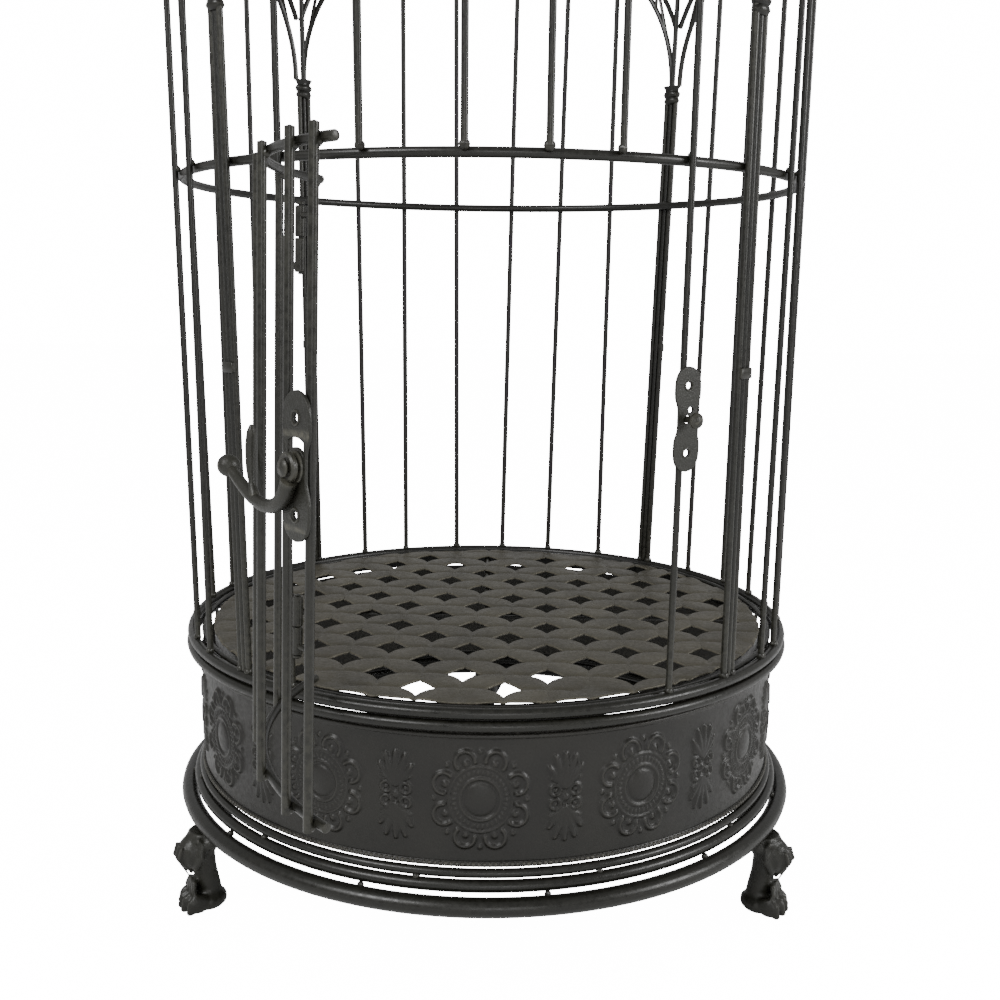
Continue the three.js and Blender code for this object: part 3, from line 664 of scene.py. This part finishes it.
def make_foot(name, angle):
    """A cast paw, built at the front and turned to its place, its parts fused by a remesh."""
    top, y, sole = FOOT_TOP, FOOT_Y, SOLE_Z
    leg = [(0, y + 1, top), (0, y, top - 5), (0, y - 3, top - 12), (0, y, top - 22), (0, y + 2, top - 32),
           (0, y + 1, sole + 5)]
    parts = [
        sweep(leg, [8, 8.6, 8.4, 6.2, 6.2, 8.6], 16),
        ball((0, y - 6, top - 11), (8.6, 8.0, 9.6)),
        ball((0, y + 1, sole + 4.6), (10.4, 10.4, 6)),
        sweep([(-8, y - 4, top - 3), (0, y - 8.4, top - 3.4), (8, y - 4, top - 3)], 2.0, 10),
    ]
    for x in (-7.4, -2.5, 2.5, 7.4):  # toes, each with a claw and a sinew
        toe_y = y - 8.4 + abs(x) * 0.32
        parts.append(ball((x, toe_y, sole + 5.4), (2.7, 6.4, 5.2)))
        parts.append(ball((x * 1.05, toe_y - 4.4, sole + 2.6), (1.5, 2.6, 2.6)))
        sinew = [(x * 0.5, y - 6.6, sole + 17), (x * 0.8, y - 8, sole + 12), (x, toe_y - 1, sole + 9)]
        parts.append(sweep(sinew, 1.5, 8))
    for side in (-1, 1):  # fur at the sides of the knee
        tuft = [(side * 7.5, y - 3, top - 4), (side * 9.4, y - 4, top - 11), (side * 6.6, y - 7, top - 19)]
        parts.append(sweep(tuft, [1.8, 2.2, 1.2], 10))
        parts.append(ball((side * 8.6, y + 1, top - 5), (2.4, 3.4, 3.4)))
    for x, drop in ((-4.4, 22), (0, 26), (4.4, 22)):  # fur down its front
        lock = [(x, y - 13, top - 6), (x, y - 14.6, top - 12), (x * 0.7, y - 7.6, top - drop)]
        parts.append(sweep(lock, [0.8, 1.3, 0.5], 8))
    obj = mesh_object(name + ".look", [moved(p, Matrix.Rotation(math.radians(angle), 4, "Z")) for p in parts])
    fuse = obj.modifiers.new("fuse", "REMESH")
    fuse.mode, fuse.voxel_size = "VOXEL", 0.8 * MM
    relax = obj.modifiers.new("relax", "SMOOTH")
    relax.iterations, relax.factor = 3, 0.5
    apply_modifiers(obj)
    low, high = (sole + 0.05) * MM, (top + 0.2) * MM
    for vertex in obj.data.vertices:  # flat where it stands and where it is welded
        vertex.co.z = min(max(vertex.co.z, low), high)
    obj.data.shade_smooth()
    settle(name, obj, CAST_PAINT)


# ---------------------------------------------------------------- door and hinge
HINGE_FRAME = Matrix.Translation(HINGE) @ Matrix.Rotation(math.radians(HINGE_LEAN), 4, "Y")
DOOR_FRAME = HINGE_FRAME @ Matrix.Rotation(math.radians(-DOOR_OPEN), 4, "Z")
BRACKETS = {"hinge_bracket_upper": (193.5, 191, 205.5), "hinge_bracket_lower": (44.5, 33, 47)}  # arm, barrel
PINS = {"hinge_pin_upper": (190, 219.35), "hinge_pin_lower": (48, 19.15)}  # plain end, end with the head
DOOR_BARRELS = ((206, 219, 215), (19.5, 32.5, 23.5))  # lower end, upper end, arm
RAIL_ROD, RAIL_INSET, RAIL_PAST = 1.8, 3.05, 6.5
BAR_ROD, ARM_ROD = 1.65, 1.3


def on_door(along, radius, z):
    """A point of the door's curve in the door's own frame; along is in degrees from the hinge side."""
    a = math.radians(DOOR_START + along)
    x, y = DOOR_CENTRE[0] + radius * math.sin(a), DOOR_CENTRE[1] - radius * math.cos(a)
    return Vector((x, y, z)) - HINGE


def knuckle(low, high):
    """A hinge barrel: a strip rolled round the pin, with softened ends."""
    a, b = low - HINGE.z, high - HINGE.z
    return lathe([(1.4, a), (2.0, a), (2.35, a + 0.4), (2.35, b - 0.4), (2.0, b), (1.4, b)], 24, closed=True)


def make_hinge():
    wire_angle = WIRE_ANGLES["hinge"][0][0]
    for name, (arm_z, low, high) in BRACKETS.items():
        there = HINGE_FRAME.inverted() @ on_wall(wire_angle, wall_radius(arm_z), arm_z)
        here = Vector((0, 0, arm_z - HINGE.z))
        step = (there - here).normalized()
        middle = here.lerp(there, 0.5) + Vector((0, 0, 0.6))
        line = smooth_line([here + step * 2.2, middle, there - step * 1.8])
        parts = [sweep(line, 1.6), knuckle(low, high), lump(there - step * 1.6, 1.9)]
        piece(name, [moved(p, HINGE_FRAME) for p in parts], ROD_PAINT)
    for name, (plain, head) in PINS.items():
        way = 1 if head > plain else -1
        a, b = plain - HINGE.z, head - HINGE.z
        profile = [(0.01, a), (0.95, a + 0.2 * way), (0.95, b), (1.9, b + 0.1 * way), (1.9, b + 0.9 * way),
                   (1.4, b + 1.4 * way), (0.01, b + 1.6 * way)]
        piece(name, [moved(lathe(profile[::way], 20), HINGE_FRAME)], ROD_PAINT)


def make_door():
    """Six upright bars, a curved rail near each end, and a barrel on an arm at each hinge."""
    parts = []
    for z in (DOOR_TOP, DOOR_BOTTOM):
        last = DOOR_BARS[-1] + math.degrees(RAIL_PAST / DOOR_ARC_R)
        line = [on_door(t, DOOR_ARC_R - RAIL_INSET, z) for t in np.linspace(DOOR_BARS[0], last, 40)]
        parts.append(sweep(line, RAIL_ROD))
        parts += [lump(on_door(a, DOOR_ARC_R - 1.2, z - 1.4), 1.7) for a in DOOR_BARS]
    for i, a in enumerate(DOOR_BARS):
        over = 2.2 if i < 4 else 4  # the two bars by the latch stand higher
        ends = [on_door(a, DOOR_ARC_R, z) for z in (DOOR_BOTTOM - 2.8, DOOR_TOP + over)]
        parts.append(straight(*ends, BAR_ROD))
    for low, high, arm_z in DOOR_BARRELS:
        bar = on_door(DOOR_BARS[0], DOOR_ARC_R, arm_z)
        start = bar.to_2d().normalized() * 1.9
        parts += [straight((*start, bar.z), bar, ARM_ROD), lump(bar, 1.9), knuckle(low, high)]
    piece("door", [moved(p, DOOR_FRAME) for p in parts], ROD_PAINT)


# ---------------------------------------------------------------- latch and strike
def outward_frame(origin, angle):
    """+X along the wall, +Y up, +Z outwards."""
    a = math.radians(angle)
    out = Vector((math.sin(a), -math.cos(a), 0))
    across = Vector((0, 0, 1)).cross(out)
    basis = Matrix((across, (0, 0, 1), out)).transposed().to_4x4()
    return Matrix.Translation(origin) @ basis


LATCH_ALONG, LATCH_Z = 62.5, 130
STRIKE_ANGLE, STRIKE_Z = 31.1, 129
LATCH_AT = on_door(LATCH_ALONG, DOOR_ARC_R + 2, LATCH_Z)
LATCH_FRAME = DOOR_FRAME @ outward_frame(LATCH_AT, DOOR_START + LATCH_ALONG)
STRIKE_AT = on_wall(STRIKE_ANGLE, wall_radius(STRIKE_Z) + 1.95, STRIKE_Z)
STRIKE_FRAME = outward_frame(STRIKE_AT, STRIKE_ANGLE)
LATCH_SIZE, STRIKE_SIZE = (48, 17), (47, 14.6)  # height, width
SHEET, SCREW_AT, SCREW_R = 1.2, 0.64, 1.5


def cut_sheet(name, outlines, soft=0.25):
    """A flat plate from closed outlines, the first the edge and the others holes, with softened rims."""
    curve = bpy.data.curves.new(name, "CURVE")
    curve.dimensions, curve.fill_mode = "2D", "BOTH"
    curve.extrude, curve.bevel_depth, curve.bevel_resolution = (SHEET / 2 - soft) * MM, soft * MM, 2
    curve.offset = -soft * MM
    for outline in outlines:
        spline = curve.splines.new("POLY")
        spline.points.add(len(outline) - 1)
        for point, (x, y) in zip(spline.points, outline):
            point.co = (x * MM, y * MM, 0, 1)
        spline.use_cyclic_u = True
    obj = bpy.data.objects.new(name, curve)
    bpy.context.scene.collection.objects.link(obj)
    graph = bpy.context.evaluated_depsgraph_get()
    mesh = bpy.data.meshes.new_from_object(obj.evaluated_get(graph))
    bpy.data.objects.remove(obj)
    verts = np.array([v.co for v in mesh.vertices]) / MM + np.array([0, 0, SHEET / 2])
    faces = [tuple(p.vertices) for p in mesh.polygons]
    bpy.data.meshes.remove(mesh)
    return verts, faces


def circle(x, y, r, count=24):
    turns = [2 * math.pi * k / count for k in range(count)]
    return [(x + r * math.cos(a), y + r * math.sin(a)) for a in turns]


LOBES = ((0, -1), (0.4, -0.97), (0.78, -0.87), (0.97, -0.7), (0.97, -0.42), (0.76, -0.22), (0.74, 0),
         (0.76, 0.22), (0.97, 0.42), (0.97, 0.7), (0.78, 0.87), (0.4, 0.97), (0, 1))


def lobed_plate(name, size, holes):
    """A plate with a screw hole in each of its two lobes, and the raised rims of those holes."""
    h, w = size[0] / 2, size[1] / 2
    side = smooth_line([(x * w, y * h, 0) for x, y in LOBES], 5)
    edge = [(p.x, p.y) for p in side] + [(-p.x, p.y) for p in reversed(side[1:-1])]
    screws = [circle(0, y * h, SCREW_R) for y in (SCREW_AT, -SCREW_AT)]
    rim = torus(2.2, 0.45, SHEET, 24, 8)
    rims = [moved(rim, Matrix.Translation((0, y * h, 0))) for y in (-SCREW_AT, SCREW_AT)]
    return cut_sheet(name, [edge, *screws, *holes]), rims


def latch_window():
    """The crescent over the latch's eye: an outer arc, and a flatter one back."""
    turns = [math.radians(38 + 104 * k / 12) for k in range(13)]
    outer = [(6.2 * math.cos(a), 6.2 * math.sin(a)) for a in turns]
    return outer + [(6.324 * math.cos(a), 5.6 + 3.6 * math.sin(a)) for a in reversed(turns)]


EYE = [(1.95, 0), (4.3, 0), (4.9, 0.6), (4.9, 1.9), (4.3, 2.5), (3.2, 2.3), (1.95, 2.0)]
ARM_BACK, ARM_THICK, ARM_MID = 2.35, 2.5, 1.25
NECK = [(0.6, -4.2), (-2.4, -9), (-8, -13.2), (-15.5, -14.6), (-24, -13.4), (-33, -9.8), (-39.6, -6.4)]
NECK_ENDS = (2.75, 1.9)
TONGUE = [(-22.6, -13), (-24.6, -8.5), (-25.6, -3), (-25.7, 3.5), (-25.1, 8), (-25, 10.4)]
TONGUE_RODS = [1.9, 1.2, 1.65, 1.8, 1.6, 0.7]
TIP_AT, TIP_R = (-42, -5.3), 3.9


def make_latch():
    sheet, rims = lobed_plate("latch_sheet", LATCH_SIZE, [circle(0, 0, 1.75), latch_window()])
    boss = lathe([(1.85, 1.0), (4.9, 1.0), (5.2, 1.3), (4.9, 1.9), (1.85, 1.95)], 28, closed=True)
    piece("latch_plate", [moved(p, LATCH_FRAME) for p in (sheet, boss, *rims)], CAST_PAINT)
    neck = smooth_line([(*p, ARM_MID) for p in NECK])
    tongue = smooth_line([(*p, ARM_MID) for p in TONGUE], 5)
    swell = np.interp(np.linspace(0, 5, len(tongue)), range(6), TONGUE_RODS)
    arm = [lathe(EYE, 32, closed=True), sweep(neck, np.linspace(*NECK_ENDS, len(neck)), 14),
           sweep(tongue, swell, 14), ball((*TIP_AT, ARM_MID), TIP_R, segments=24, rows=16)]
    lift = LATCH_FRAME @ Matrix.Translation((0, 0, ARM_BACK))
    piece("latch_arm", [moved(p, lift) for p in arm], CAST_PAINT)
    face = ARM_BACK + ARM_THICK
    rivet = lathe([(0.01, 0.2), (1.5, 0.2), (1.5, face + 0.25), (2.9, face + 0.3), (3.0, face + 0.8),
                   (2.5, face + 1.4), (1.4, face + 1.85), (0.01, face + 2.0)], 28)
    piece("latch_rivet", [moved(rivet, LATCH_FRAME)], CAST_PAINT)


def make_strike():
    sheet, rims = lobed_plate("strike_sheet", STRIKE_SIZE, [circle(0, 0, 1.8), circle(1.6, 4.2, 1.3, 16)])
    piece("strike_plate", [moved(p, STRIKE_FRAME) for p in (sheet, *rims)], CAST_PAINT)
    stud = lathe([(0.01, 0.2), (1.5, 0.2), (1.5, 5.9), (3.2, 6.1), (3.6, 6.6), (3.55, 7.5), (2.6, 8.5),
                  (1.3, 9.1), (0.01, 9.3)], 28)
    piece("strike_stud", [moved(stud, STRIKE_FRAME)], CAST_PAINT)


# ---------------------------------------------------------------- floor, light and camera
STAGE_REACH, STAGE_GLOW = 6, 15  # metres, emission strength
WORLD_LIGHT, WORLD_SEEN = 0.62, 16
LAMPS = {  # place and size in metres, power in watts
    "key": ((-1.3, -1.5, 1.5), 0.9, 44),
    "side": ((1.7, -0.7, 0.7), 0.7, 24),
    "front": ((0.2, -2.2, 0.5), 0.8, 9),
}
LAMPS_AIM = Vector((0, 0, 0.1))
CAMERA_AT, CAMERA_LENS, SENSOR = (0, -0.65352, 0.18388), 41.47, 36
CAMERA_TURN, CAMERA_DOWN, CAMERA_ROLL = 0.5943, 10.2632, 0.6871


def camera_only(tree, otherwise, seen):
    """A strength that is one value for what the camera sees and another for the light given."""
    rays = tree.nodes.new("ShaderNodeLightPath")
    choice = tree.nodes.new("ShaderNodeMapRange")
    choice.inputs["To Min"].default_value, choice.inputs["To Max"].default_value = otherwise, seen
    tree.links.new(rays.outputs["Is Camera Ray"], choice.inputs["Value"])
    return choice.outputs["Result"]


def make_stage():
    """A white floor and background that look bright but hardly light the cage from below."""
    mat = bpy.data.materials.new("pale_floor")
    mat.use_nodes = True
    tree = mat.node_tree
    shader = tree.nodes["Principled BSDF"]
    shader.inputs["Base Color"].default_value = (0.93, 0.93, 0.93, 1)
    shader.inputs["Roughness"].default_value = 0.9
    shader.inputs["Emission Color"].default_value = (1, 1, 1, 1)
    tree.links.new(camera_only(tree, 0, STAGE_GLOW), shader.inputs["Emission Strength"])
    mesh = bpy.data.meshes.new("ground")
    s, z = STAGE_REACH, SOLE_Z * MM
    mesh.from_pydata([(-s, -s, z), (s, -s, z), (s, s, z), (-s, s, z)], [], [(0, 1, 2, 3)])
    ground = bpy.data.objects.new("ground", mesh)
    ground.data.materials.append(mat)
    bpy.context.scene.collection.objects.link(ground)
    world = bpy.data.worlds.new("studio")
    world.use_nodes = True
    tree = world.node_tree
    back = tree.nodes["Background"]
    back.inputs["Color"].default_value = (1, 1, 1, 1)
    tree.links.new(camera_only(tree, WORLD_LIGHT, WORLD_SEEN), back.inputs["Strength"])
    bpy.context.scene.world = world
    for name, (at, size, power) in LAMPS.items():
        light = bpy.data.lights.new(name, "AREA")
        light.energy, light.size = power, size
        obj = bpy.data.objects.new(name, light)
        obj.location = at
        obj.rotation_euler = (LAMPS_AIM - Vector(at)).to_track_quat("-Z", "Y").to_euler()
        bpy.context.scene.collection.objects.link(obj)


def make_camera():
    camera = bpy.data.cameras.new("camera")
    camera.lens, camera.sensor_width = CAMERA_LENS, SENSOR
    obj = bpy.data.objects.new("camera", camera)
    turns = ((-CAMERA_TURN, "Z"), (90 - CAMERA_DOWN, "X"), (CAMERA_ROLL, "Z"))
    place = Matrix.Translation(CAMERA_AT)
    for degrees, axis in turns:
        place = place @ Matrix.Rotation(math.radians(degrees), 4, axis)
    obj.matrix_world = place
    bpy.context.scene.collection.objects.link(obj)
    bpy.context.scene.camera = obj


make_wires()
make_posts()
make_rings()
make_arches()
make_crown()
make_band()
make_floor()
for foot, place in FOOT_PLACES.items():
    make_foot(foot, place)
make_hinge()
make_door()
make_latch()
make_strike()
make_stage()
make_camera()
